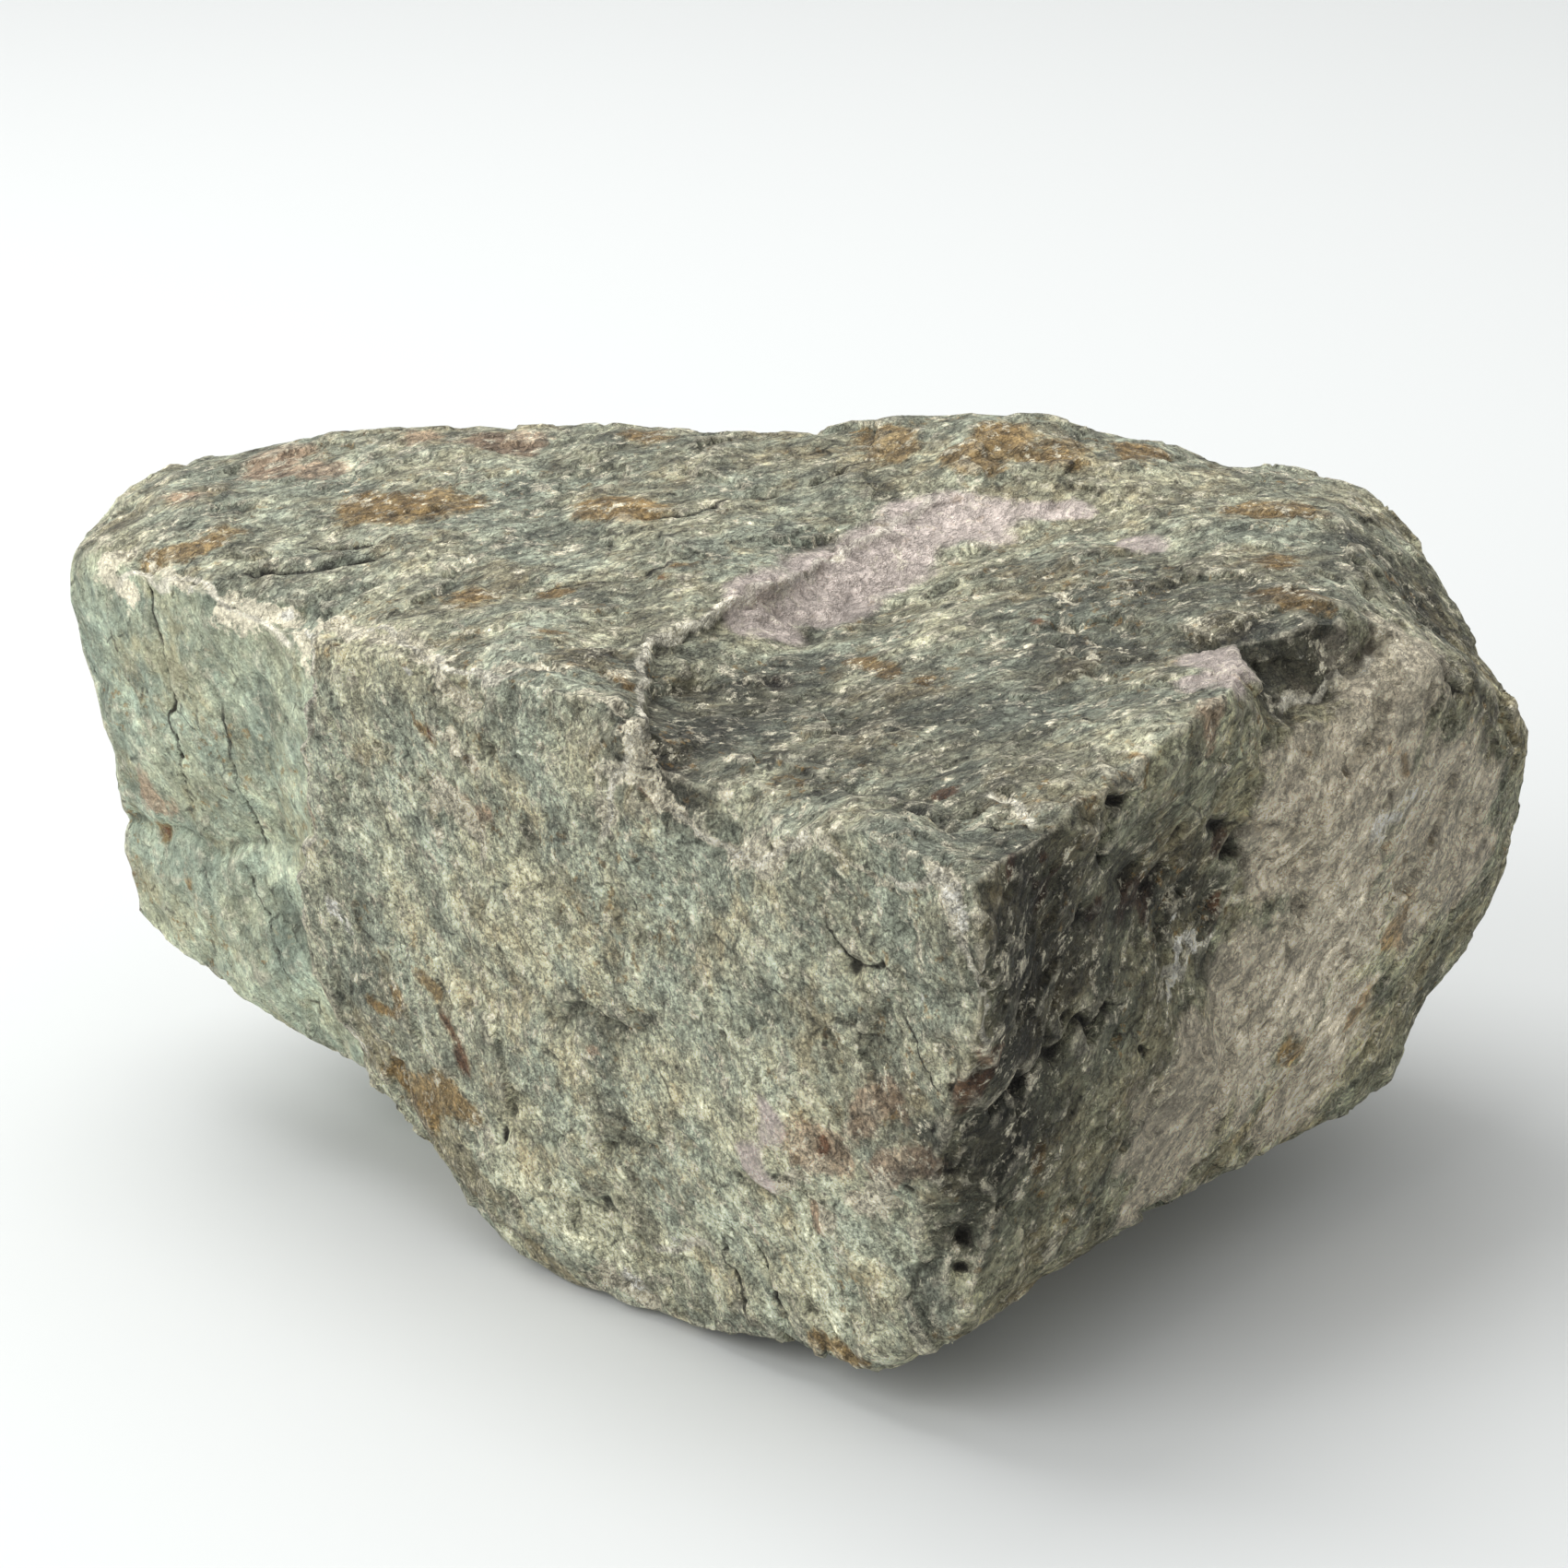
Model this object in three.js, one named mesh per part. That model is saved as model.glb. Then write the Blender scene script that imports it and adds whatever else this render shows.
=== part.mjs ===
// A rough block of foliated green-grey rock, one solid, broken on every side.
// Millimetres, +Z up, X along the longest extent, Y from the front to the back.
// The origin is at the middle of the footprint, on the plane that the block rests on.
//
// The block is described by marks on its surface, named after its faces and edges. The marks
// are joined by triangles as seen from the heart of the block, so that the surface is closed.
// Then the triangles are made small, worn at their edges and roughened.

import * as THREE from 'three';
import { ConvexHull } from 'three/addons/math/ConvexHull.js';
import { ImprovedNoise } from 'three/addons/math/ImprovedNoise.js';
import { TessellateModifier } from 'three/addons/modifiers/TessellateModifier.js';
import { mergeVertices } from 'three/addons/utils/BufferGeometryUtils.js';

// Driving dimensions.
const blockLength = 354;
const blockDepth = 300;
const blockHeight = 167;
const facetSize = 14; // longest side of a finished triangle
const wearPasses = 2; // how far the sharp edges are worn
const wearStrength = 0.45;
const restMargin = 14; // height over which the roughness grows from the resting face
const heart = new THREE.Vector3(5, -20, 78); // a point deep inside, in the frame of the marks

// Roughness of the broken faces: height and length of each size of unevenness.
const roughness = [
  { height: 2.4, length: 52 },
  { height: 1.3, length: 21 },
];

const stoneColour = '#7b8070';

// Marks on the surface, [x, y, z], before the block is brought to its driving dimensions.
const marks = {
  // Upright ridge where the front face meets the right face, from the top corner down.
  frontRidge: [
    [39, -174, 136], [42, -181, 121], [41, -180, 104], [35, -172, 80], [29, -165, 57],
    [27, -161, 37], [26, -158, 18],
  ],
  // Broken upper edge of the front face, from its left end to the top corner. It dips
  // where a chip has gone from the shelf behind it.
  frontBrow: [
    [-108, -30, 140], [-95, -45, 144], [-82, -57, 146], [-69, -70, 146], [-53, -85, 149],
    [-42, -95, 151], [-31, -109, 147], [-26, -112, 138], [-20, -119, 130], [-11, -126, 123],
    [0, -138, 132], [11, -150, 140], [21, -161, 142], [30, -169, 139],
  ],
  // Swells and hollows of the broad front face.
  frontFace: [
    [-89, -52, 114], [-64, -77, 123], [-40, -103, 129], [-22, -115, 109], [0, -140, 114],
    [21, -158, 117], [-92, -49, 82], [-67, -75, 92], [-43, -99, 102], [-82, -60, 55], [-54, -88, 67],
    [-29, -111, 79], [-4, -137, 88], [19, -157, 94],
  ],
  // Low break across the front face, below which it turns under.
  frontBreak: [
    [-71, -68, 30], [-48, -93, 40], [-23, -119, 51], [0, -143, 58], [19, -159, 63],
  ],
  // Lower edge of the front face, from left to right.
  frontFoot: [
    [-88, -48, 26], [-76, -57, 14], [-68, -64, 4], [-54, -77, -2], [-42, -89, 0], [-30, -100, 0],
    [-15, -115, 2], [0, -130, 8], [10, -140, 11], [19, -148, 12],
  ],
  // Sharp upright edge between the front face and the left end, from the top down.
  endArris: [
    [-110, -30, 125], [-112, -27, 109], [-113, -26, 92], [-115, -25, 79], [-113, -27, 66],
    [-110, -29, 56], [-104, -35, 48], [-94, -40, 43],
  ],
  // Upper edge of the left end, from the back to the front.
  endBrow: [
    [-175, 39, 136], [-164, 26, 138], [-152, 15, 141], [-139, 1, 145], [-129, -7, 143],
    [-120, -15, 139],
  ],
  // Smooth left end face above its groove.
  endFace: [
    [-166, 32, 109], [-153, 16, 111], [-136, -1, 115], [-121, -10, 113], [-162, 27, 89],
    [-149, 12, 91], [-133, -3, 95], [-120, -10, 95],
  ],
  // Open crack that runs across the left end.
  endGroove: [
    [-162, 30, 75], [-147, 18, 75], [-132, 4, 78], [-119, -5, 81],
  ],
  // Lobe below the groove, and the lower edge of the left end.
  endFoot: [
    [-164, 28, 60], [-145, 10, 66], [-131, -2, 70], [-120, -9, 71], [-162, 29, 48], [-154, 23, 44],
    [-141, 11, 40], [-125, -2, 33], [-116, -7, 30],
  ],
  // Bevelled corner at the back of the left end.
  endBevel: [
    [-173, 42, 140], [-170, 67, 140], [-162, 83, 144], [-151, 89, 149], [-162, 27, 144],
    [-155, 31, 147], [-153, 47, 149], [-149, 64, 151],
  ],
  // Upper edge at the back, from left to right. It is the highest line of the block.
  backRim: [
    [-137, 87, 153], [-117, 89, 156], [-93, 88, 157], [-67, 84, 158], [-44, 83, 160], [-19, 79, 160],
    [7, 76, 161], [23, 79, 164], [35, 75, 166], [46, 74, 168], [57, 71, 167], [72, 73, 164],
    [91, 77, 159], [105, 77, 154], [116, 76, 150], [127, 76, 152], [136, 74, 150], [146, 71, 148],
  ],
  // Higher, left and back part of the top.
  topHigh: [
    [-136, 30, 150], [-121, 3, 146], [-108, -14, 145], [-114, 33, 152], [-100, 9, 147],
    [-92, 40, 154], [-83, -16, 148], [-87, 10, 151], [-64, 11, 152], [-59, -45, 148],
    [-43, -20, 150], [-43, -57, 148], [-56, 45, 156], [-29, 24, 155], [-17, -5, 152], [-98, 67, 156],
    [-62, 63, 158], [-25, 54, 159], [9, 48, 160], [2, 27, 155], [22, 34, 158], [45, 43, 163],
    [47, 36, 158], [72, 48, 161], [94, 49, 157],
  ],
  // Upper edge of the low step that crosses the top.
  stepBrow: [
    [-32, -52, 147], [-19, -37, 149], [-4, -19, 150], [13, 5, 152], [31, 27, 154], [48, 32, 155],
    [66, 37, 156],
  ],
  // Foot of that step.
  stepFoot: [
    [-23, -62, 140], [-10, -52, 139], [5, -30, 140], [16, -6, 142], [35, 7, 146], [55, 19, 149],
  ],
  // Lower, front and right part of the top.
  shelf: [
    [-16, -94, 138], [2, -81, 139], [23, -83, 140], [43, -95, 140], [27, -40, 142], [51, -43, 144],
    [70, -72, 144], [53, -129, 140], [65, -11, 148], [85, -33, 148], [81, 7, 151], [101, 6, 152],
    [89, 34, 154], [108, 40, 154], [-20, -118, 136], [-5, -120, 138], [11, -120, 138],
    [25, -122, 137], [34, -130, 135],
  ],
  // Upper edge of the right face, from the top corner to the notch.
  rightBrow: [
    [47, -161, 136], [58, -146, 138], [69, -130, 140], [80, -116, 144], [91, -104, 148],
    [101, -87, 151], [109, -76, 136],
  ],
  // Notch where a wedge has broken out of the upper right edge.
  notch: [
    [102, -53, 148], [114, -51, 150], [127, -41, 150], [113, -56, 133], [123, -48, 135],
    [132, -37, 138], [116, -52, 141],
  ],
  // Right end of the top, between the notch and the back.
  topRight: [
    [120, 32, 153], [118, -20, 152], [132, 35, 151], [133, 6, 150], [136, -15, 146], [139, -29, 142],
  ],
  // Steep flank at the right end of the top.
  rightFlank: [
    [152, 63, 144], [157, 46, 138], [162, 32, 131], [166, 18, 124], [146, 28, 143], [150, 14, 136],
    [154, 0, 131],
  ],
  // Rounded shoulder below the flank and the notch.
  shoulder: [
    [122, -60, 131], [135, -46, 134], [149, -34, 135], [165, -11, 123], [176, 4, 113], [180, 11, 99],
  ],
  // Right face, with a deep hollow beside the ridge and a full belly to the right.
  rightFace: [
    [52, -153, 123], [62, -137, 123], [75, -119, 127], [89, -105, 132], [102, -88, 133],
    [66, -130, 108], [78, -108, 107], [91, -92, 99], [102, -82, 104], [55, -146, 96], [74, -121, 88],
    [93, -94, 82], [114, -77, 117], [128, -61, 120], [145, -42, 119], [164, -14, 105],
    [111, -76, 83], [127, -63, 91], [147, -38, 91], [167, -7, 83], [131, -54, 65], [152, -27, 65],
    [51, -155, 78], [70, -132, 72], [93, -105, 67], [117, -72, 56], [139, -39, 49], [45, -161, 57],
    [63, -142, 56], [84, -115, 52], [105, -84, 45],
  ],
  // Lower edge of the right face, rising to the right end.
  rightFoot: [
    [37, -170, 29], [47, -154, 28], [61, -137, 32], [74, -120, 33], [90, -97, 30], [104, -77, 29],
    [119, -55, 28], [129, -43, 24], [140, -30, 24], [149, -19, 31], [156, -9, 42], [165, 3, 52],
    [173, 12, 67], [178, 17, 77],
  ],
  // Plain back, two bands of marks below the rim.
  back: [
    [-167, 84, 112], [-148, 106, 117], [-108, 112, 126], [-66, 105, 132], [-30, 117, 118],
    [8, 123, 112], [48, 117, 124], [84, 111, 116], [114, 100, 112], [146, 80, 108], [168, 48, 98],
    [-158, 66, 80], [-134, 97, 82], [-92, 110, 73], [-50, 119, 78], [-6, 116, 66], [38, 121, 73],
    [82, 112, 64], [118, 92, 70], [148, 66, 66], [162, 22, 60],
  ],
  // Lower edge of the back.
  backFoot: [
    [-138, 54, 58], [-112, 82, 42], [-70, 95, 31], [-24, 105, 20], [20, 98, 27], [60, 101, 16],
    [104, 80, 26], [138, 30, 34],
  ],
  // Underside between the lower edges and the resting face.
  belly: [
    [-112, 28, 34], [-84, 2, 18], [-84, 48, 20], [118, 22, 14], [112, -24, 18], [86, -60, 17],
    [60, -94, 18], [12, 88, 6], [-92, -6, 33],
  ],
  // Flat resting face.
  restFace: [
    [-58, -38, 0], [-38, -68, 0], [-5, -94, 0], [26, -100, 0], [46, -80, 0], [68, -40, 0],
    [92, -12, 0], [90, 32, 0], [48, 66, 0], [-30, 64, 0], [-60, 28, 0], [10, -20, 0],
  ],
};

// Joins the marks by triangles, each as it faces the heart of the block.
function joinMarks() {
  const markOf = new Map();
  const directions = Object.values(marks).flat().map((mark) => {
    const point = new THREE.Vector3(...mark);
    const direction = point.clone().sub(heart).normalize();
    markOf.set(direction, point);
    return direction;
  });
  const corners = [];
  for (const face of new ConvexHull().setFromPoints(directions).faces) {
    let edge = face.edge;
    do {
      corners.push(markOf.get(edge.head().point));
      edge = edge.next;
    } while (edge !== face.edge);
  }
  return new THREE.BufferGeometry().setFromPoints(corners);
}

// Splits every long side, then lets neighbouring triangles share their corners.
function refine(geometry) {
  const splitRounds = 24;
  return mergeVertices(new TessellateModifier(facetSize, splitRounds).modify(geometry), 1e-3);
}

// Lists the corners next to each corner.
function neighboursOf(geometry) {
  const neighbours = Array.from({ length: geometry.attributes.position.count }, () => new Set());
  const index = geometry.index.array;
  for (let i = 0; i < index.length; i += 3) {
    const [a, b, c] = index.subarray(i, i + 3);
    neighbours[a].add(b).add(c);
    neighbours[b].add(c).add(a);
    neighbours[c].add(a).add(b);
  }
  return neighbours;
}

// Moves each corner part of the way to the middle of its neighbours.
function wear(geometry) {
  const position = geometry.attributes.position;
  const neighbours = neighboursOf(geometry);
  const corner = new THREE.Vector3();
  const middle = new THREE.Vector3();
  for (let pass = 0; pass < wearPasses; pass += 1) {
    const before = position.clone();
    neighbours.forEach((others, i) => {
      middle.set(0, 0, 0);
      for (const other of others) middle.add(corner.fromBufferAttribute(before, other));
      middle.divideScalar(others.size);
      corner.fromBufferAttribute(before, i).lerp(middle, wearStrength);
      position.setXYZ(i, corner.x, corner.y, corner.z);
    });
  }
}

// Raises and sinks the surface along its normals, except near the resting face.
function roughen(geometry) {
  const noise = new ImprovedNoise();
  geometry.computeVertexNormals();
  const { position, normal } = geometry.attributes;
  const corner = new THREE.Vector3();
  const outward = new THREE.Vector3();
  for (let i = 0; i < position.count; i += 1) {
    corner.fromBufferAttribute(position, i);
    outward.fromBufferAttribute(normal, i);
    let rise = 0;
    for (const { height, length } of roughness) {
      rise += height * noise.noise(corner.x / length, corner.y / length, corner.z / length);
    }
    rise *= THREE.MathUtils.smoothstep(corner.z, 0, restMargin);
    corner.addScaledVector(outward, rise);
    position.setXYZ(i, corner.x, corner.y, Math.max(corner.z, 0));
  }
}

// Brings the block to its driving dimensions, standing on z = 0 about the origin.
function seat(geometry) {
  geometry.computeBoundingBox();
  const { min, max } = geometry.boundingBox;
  geometry.translate(-(min.x + max.x) / 2, -(min.y + max.y) / 2, -min.z);
  geometry.scale(
    blockLength / (max.x - min.x),
    blockDepth / (max.y - min.y),
    blockHeight / (max.z - min.z),
  );
}

function makeBlock() {
  const geometry = joinMarks();
  const block = refine(geometry);
  block.deleteAttribute('normal');
  wear(block);
  roughen(block);
  seat(block);
  block.computeVertexNormals();
  return block;
}

const stone = new THREE.MeshStandardMaterial({ color: stoneColour, roughness: 0.9, metalness: 0 });
const rock = new THREE.Mesh(makeBlock(), stone);
rock.name = 'rock';

const model = new THREE.Group();
model.add(rock);

export default model;
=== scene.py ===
import math

import bpy
import numpy as np
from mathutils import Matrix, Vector


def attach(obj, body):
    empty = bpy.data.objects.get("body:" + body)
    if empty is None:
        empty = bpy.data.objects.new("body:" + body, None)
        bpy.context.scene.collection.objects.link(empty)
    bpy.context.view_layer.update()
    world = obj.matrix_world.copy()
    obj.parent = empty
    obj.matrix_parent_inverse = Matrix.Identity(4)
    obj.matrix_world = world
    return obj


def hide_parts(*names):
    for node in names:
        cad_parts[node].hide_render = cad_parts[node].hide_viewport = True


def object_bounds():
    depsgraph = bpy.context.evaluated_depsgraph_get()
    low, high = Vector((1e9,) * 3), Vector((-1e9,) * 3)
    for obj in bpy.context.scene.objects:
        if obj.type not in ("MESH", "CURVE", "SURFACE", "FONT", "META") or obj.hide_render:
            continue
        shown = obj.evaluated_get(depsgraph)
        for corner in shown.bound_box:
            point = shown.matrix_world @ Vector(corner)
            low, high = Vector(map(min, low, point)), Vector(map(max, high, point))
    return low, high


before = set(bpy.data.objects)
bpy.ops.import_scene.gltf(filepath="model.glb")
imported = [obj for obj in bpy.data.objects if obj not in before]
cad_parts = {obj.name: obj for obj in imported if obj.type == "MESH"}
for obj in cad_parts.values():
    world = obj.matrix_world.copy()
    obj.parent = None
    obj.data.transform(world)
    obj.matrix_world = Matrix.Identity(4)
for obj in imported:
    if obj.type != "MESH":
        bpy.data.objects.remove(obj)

cadLow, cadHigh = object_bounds()
cadSize = cadHigh - cadLow
mm = 0.001

# places on the rock are given in millimetres from the middle of its base, at this size
designSize = Vector((354, 300, 167))


def spot(x, y, z):
    middle = (cadLow + cadHigh) / 2
    return Vector((
        middle.x + x * cadSize.x / designSize.x,
        middle.y + y * cadSize.y / designSize.y,
        cadLow.z + z * cadSize.z / designSize.z,
    ))


cameraLook = {
    "aim": (-2.6, 27, 95),
    "distance": 1.3,
    "elevation": 20,
    "lens": 124.2,
}

lightLook = {
    "worldStrength": 0.73,
    "floorSide": 12,
    "floorTone": (0.622, 0.637, 0.633, 1),
    # each lamp: its place, the side of its square and its power
    "lamps": {
        "key": ((-1.2, -1.0, 1.0), 1.2, 17.8),
        "overhead": ((-0.7, 0.6, 1.7), 1.4, 19.7),
        "backdrop": ((-0.2, 1.1, 1.8), 1.6, 11.9),
    },
}


def addCamera():
    camera = bpy.data.objects.new("camera", bpy.data.cameras.new("camera"))
    bpy.context.collection.objects.link(camera)
    aim = spot(*cameraLook["aim"])
    tilt = math.radians(cameraLook["elevation"])
    camera.location = aim + cameraLook["distance"] * Vector((0, -math.cos(tilt), math.sin(tilt)))
    camera.rotation_euler = (math.pi / 2 - tilt, 0, 0)
    camera.data.lens = cameraLook["lens"]
    camera.data.clip_end = 50
    bpy.context.scene.camera = camera
    print("camera ready")


def addAreaLight(name, place, side, power):
    light = bpy.data.lights.new(name, "AREA")
    light.size = side
    light.energy = power
    lamp = bpy.data.objects.new(name, light)
    bpy.context.collection.objects.link(lamp)
    lamp.location = place
    lamp.rotation_euler = (spot(0, 0, 60) - lamp.location).to_track_quat("-Z", "Y").to_euler()


def addStudio():
    world = bpy.data.worlds.new("studio")
    bpy.context.scene.world = world
    world.use_nodes = True
    world.node_tree.nodes["Background"].inputs["Color"].default_value = (1, 1, 1, 1)
    world.node_tree.nodes["Background"].inputs["Strength"].default_value = lightLook["worldStrength"]
    for name, (place, side, power) in lightLook["lamps"].items():
        addAreaLight(name, place, side, power)
    bpy.ops.object.select_all(action="DESELECT")
    bpy.ops.mesh.primitive_plane_add(size=lightLook["floorSide"], location=(0, 0, cadLow.z))
    floor = bpy.context.object
    floor.name = "floor"
    bpy.ops.object.transform_apply(location=True, rotation=True, scale=True)
    paper = bpy.data.materials.new("palePaper")
    paper.use_nodes = True
    shader = paper.node_tree.nodes["Principled BSDF"]
    shader.inputs["Base Color"].default_value = lightLook["floorTone"]
    shader.inputs["Roughness"].default_value = 0.85
    shader.inputs["Specular IOR Level"].default_value = 0.2
    floor.data.materials.append(paper)
    bpy.context.scene.view_settings.view_transform = "Standard"
    print("studio ready")


# the next helpers make nodes for the rock's shape and its material alike
def addNode(tree, kind, inputs, **settings):
    new = tree.nodes.new(kind)
    for name, value in settings.items():
        setattr(new, name, value)
    for name, value in inputs.items():
        if isinstance(value, bpy.types.NodeSocket):
            tree.links.new(value, new.inputs[name])
        else:
            new.inputs[name].default_value = value
    return new


def calc(tree, operation, first, second=None, third=None):
    inputs = {0: first}
    if second is not None:
        inputs[1] = second
    if third is not None:
        inputs[2] = third
    return addNode(tree, "ShaderNodeMath", inputs, operation=operation).outputs[0]


def vectorCalc(tree, operation, first, second):
    new = addNode(tree, "ShaderNodeVectorMath", {0: first, 1: second}, operation=operation)
    return new.outputs["Value"] if operation == "DOT_PRODUCT" else new.outputs["Vector"]


def scaled(tree, place, factor):
    inputs = {0: place, "Scale": factor}
    return addNode(tree, "ShaderNodeVectorMath", inputs, operation="SCALE").outputs["Vector"]


def split(tree, vector):
    return addNode(tree, "ShaderNodeSeparateXYZ", {"Vector": vector}).outputs


# noise between about 0 and 1; size is the width of one lump, in metres
def noise(tree, place, size, detail=2.0, roughness=0.5, shift=0.0):
    moved = vectorCalc(tree, "ADD", place, (shift, shift * 0.7, shift * 1.3))
    inputs = {"Vector": moved, "Scale": 1 / size, "Detail": detail, "Roughness": roughness}
    return addNode(tree, "ShaderNodeTexNoise", inputs).outputs[0]


def between(tree, value, low, high, outLow=0.0, outHigh=1.0, kind="SMOOTHSTEP"):
    inputs = {"Value": value, 1: low, 2: high, 3: outLow, 4: outHigh}
    return addNode(
        tree, "ShaderNodeMapRange", inputs, interpolation_type=kind, clamp=True
    ).outputs[0]


def blend(tree, share, first, second):
    return calc(tree, "MULTIPLY_ADD", share, calc(tree, "SUBTRACT", second, first), first)


# The rock's grain lies in sheets, and its minerals are drawn out along one line in them.
foliation = {
    "across": (0.27, -0.75, 0.605),
    "sheet": (-0.805, 0.167, 0.566),
    "line": (0.525, 0.639, 0.558),
}


# the place with its grain drawn out: smaller shares give longer streaks
def drawnOut(tree, place, sheetShare, lineShare):
    across = vectorCalc(tree, "DOT_PRODUCT", place, foliation["across"])
    sheet = vectorCalc(tree, "DOT_PRODUCT", place, foliation["sheet"])
    line = vectorCalc(tree, "DOT_PRODUCT", place, foliation["line"])
    inputs = {
        "X": across,
        "Y": calc(tree, "MULTIPLY", sheet, sheetShare),
        "Z": calc(tree, "MULTIPLY", line, lineShare),
    }
    return addNode(tree, "ShaderNodeCombineXYZ", inputs).outputs["Vector"]


# the place pushed about by noise, so that cells and chips get ragged outlines
def ruffled(tree, place, size, push):
    inputs = {"Vector": place, "Scale": 1 / size, "Detail": 3.0}
    swirl = addNode(tree, "ShaderNodeTexNoise", inputs).outputs["Color"]
    return vectorCalc(tree, "ADD", place, scaled(tree, swirl, push))


# the place bent and drawn out for the pattern of broken chips
def chipPlace(tree, place):
    return drawnOut(tree, ruffled(tree, place, 0.016, 0.008), 0.8, 0.6)


# height, in metres, of tilted flat chips: one in each cell of a Voronoi pattern
def chipHeight(tree, place, size, slope):
    grown = scaled(tree, place, 1 / size)
    cells = addNode(tree, "ShaderNodeTexVoronoi", {"Vector": grown, "Scale": 1.0})
    tilt = vectorCalc(tree, "SUBTRACT", cells.outputs["Color"], (0.5, 0.5, 0.5))
    arm = vectorCalc(tree, "SUBTRACT", grown, cells.outputs["Position"])
    return calc(tree, "MULTIPLY", vectorCalc(tree, "DOT_PRODUCT", tilt, arm), 2 * slope * size)


# each step: its brow, the way to its low side, its drop and how far the drop lasts, in millimetres
steps = {
    "arris": (
        [(-113, 1, 142), (-112, -3, 132), (-114, -3, 120), (-115, -2, 110), (-114, -2, 100), (-114, -3, 94),
         (-116, 2, 86), (-118, 5, 78), (-118, 6, 68), (-115, 3, 57), (-110, -1, 49), (-104, -6, 38)],
        (-0.66, 0.75, 0), 3.2, 30),
    "scarp": (
        [(-34, -82, 146), (-33, -72, 147), (-33, -45, 147), (-34, -26, 147), (-24, -11, 149), (-16, -2, 150),
         (-9, 5, 150)],
        (0.75, -0.65, 0), 2.8, 22),
    "scarpEnd": ([(-9, 5, 150), (8, 29, 151), (22, 46, 154), (31, 55, 156)], (0.75, -0.65, 0), 0.5, 14),
    "frontLedge": ([(-72, -46, 77), (-60, -57, 76), (-47, -71, 77), (-32, -85, 79)], (0, 0, -1), 1.6, 14),
    "footLedge": ([(-28, -88, 55), (-15, -101, 52), (-5, -111, 51), (4, -120, 53)], (0, 0, -1), 1.4, 12),
}

# each groove or crack: its points, half width and depth in millimetres, and how dark it is; the dark is
# partly painted shadow, as under the ledges
cracks = {
    "dish": ([(-14, -60, 140), (4, -40, 141), (20, -22, 143)], 16, 1.6, 0.0),
    "endCrack": (
        [(-155, 41, 138), (-153, 38, 129), (-151, 35, 122), (-150, 35, 115), (-150, 36, 108), (-148, 36, 97),
         (-147, 37, 86)],
        0.8, 1.8, 1.0),
    "endHairline": ([(-136, 25, 110), (-135, 25, 102), (-132, 24, 93), (-129, 25, 83)], 0.6, 1.2, 0.8),
    "endGroove": ([(-164, 57, 75), (-149, 42, 76), (-134, 29, 79), (-121, 11, 84)], 2.4, 1.8, 0.4),
    "lobeCrack": ([(-132, 24, 70), (-128, 18, 63), (-124, 13, 54)], 0.8, 1.0, 0.7),
    "topCrack": ([(-36, 47, 156), (-23, 51, 157), (-15, 58, 158), (4, 64, 158),
                  (14, 73, 161)], 1.2, 2.4, 0.9),
    "topHairline": ([(-65, 8, 150), (-48, 11, 151), (-35, 14, 152), (-25, 23, 154)], 0.8, 1.4, 0.7),
    "cornerLedge": ([(-128, 32, 148), (-121, 32, 148), (-112, 33, 149), (-100, 35, 151)], 1.6, 3.0, 0.9),
    "upperLedge": ([(-113, 41, 150), (-107, 41, 151), (-101, 41, 152)], 1.1, 1.8, 0.9),
    "plateEdge": ([(61, 5, 149), (61, -14, 146), (69, -37, 145), (80, -52, 147),
                   (90, -54, 148)], 1.4, 1.8, 0.2),
    "lip": ([(12, -95, 138), (18, -100, 139), (26, -107, 139), (33, -115, 137)], 2.4, 2.4, 0.5),
    "slit": ([(43, -116, 138), (49, -117, 138), (54, -118, 137)], 0.8, 1.8, 1.0),
    "gash": (
        [(69, -99, 89), (61, -111, 88), (56, -118, 86), (49, -128, 83), (43, -134, 79), (37, -139, 76)],
        1.5, 3.0, 0.8),
    "footCrack": ([(-10, -102, 34), (-6, -103, 25), (-3, -103, 17), (1, -104, 11)], 0.9, 2.0, 0.9),
    "footHairline": ([(-17, -94, 31), (-14, -95, 23), (-12, -96, 18)], 0.7, 1.3, 0.8),
    "faceCrack": ([(8, -122, 118), (11, -125, 113), (14, -128, 111), (18, -131, 110)], 0.9, 2.0, 1.0),
    "faceHairline": ([(25, -138, 97), (27, -140, 93), (29, -142, 88)], 0.7, 1.1, 0.7),
    "faceStep": ([(-66, -51, 37), (-58, -60, 38), (-47, -71, 43), (-34, -82, 49)], 1.6, 1.5, 0.4),
    "bandStep": ([(-57, -62, 72), (-46, -72, 76), (-33, -84, 80), (-20, -98, 83)], 1.6, 1.2, 0.3),
    "ridgeSplit": ([(33, -145, 92), (29, -141, 76), (32, -141, 71)], 0.8, 1.2, 0.8),
    "notchFoot": ([(109, -39, 137), (115, -31, 136), (123, -24, 137), (130, -15, 140),
                   (136, -7, 143)], 1.6, 1.4, 0.5),
    "notchHollow": ([(108, -25, 146), (115, -24, 143), (122, -18, 144)], 5.0, 2.0, 0.0),
    "flankCrack": ([(149, 3, 137), (151, -2, 132), (155, 3, 127)], 1.2, 2.2, 0.8),
    "flankHairline": ([(133, 29, 150), (136, 12, 147), (137, -5, 143)], 1.2, 1.8, 0.5),
}

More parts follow.
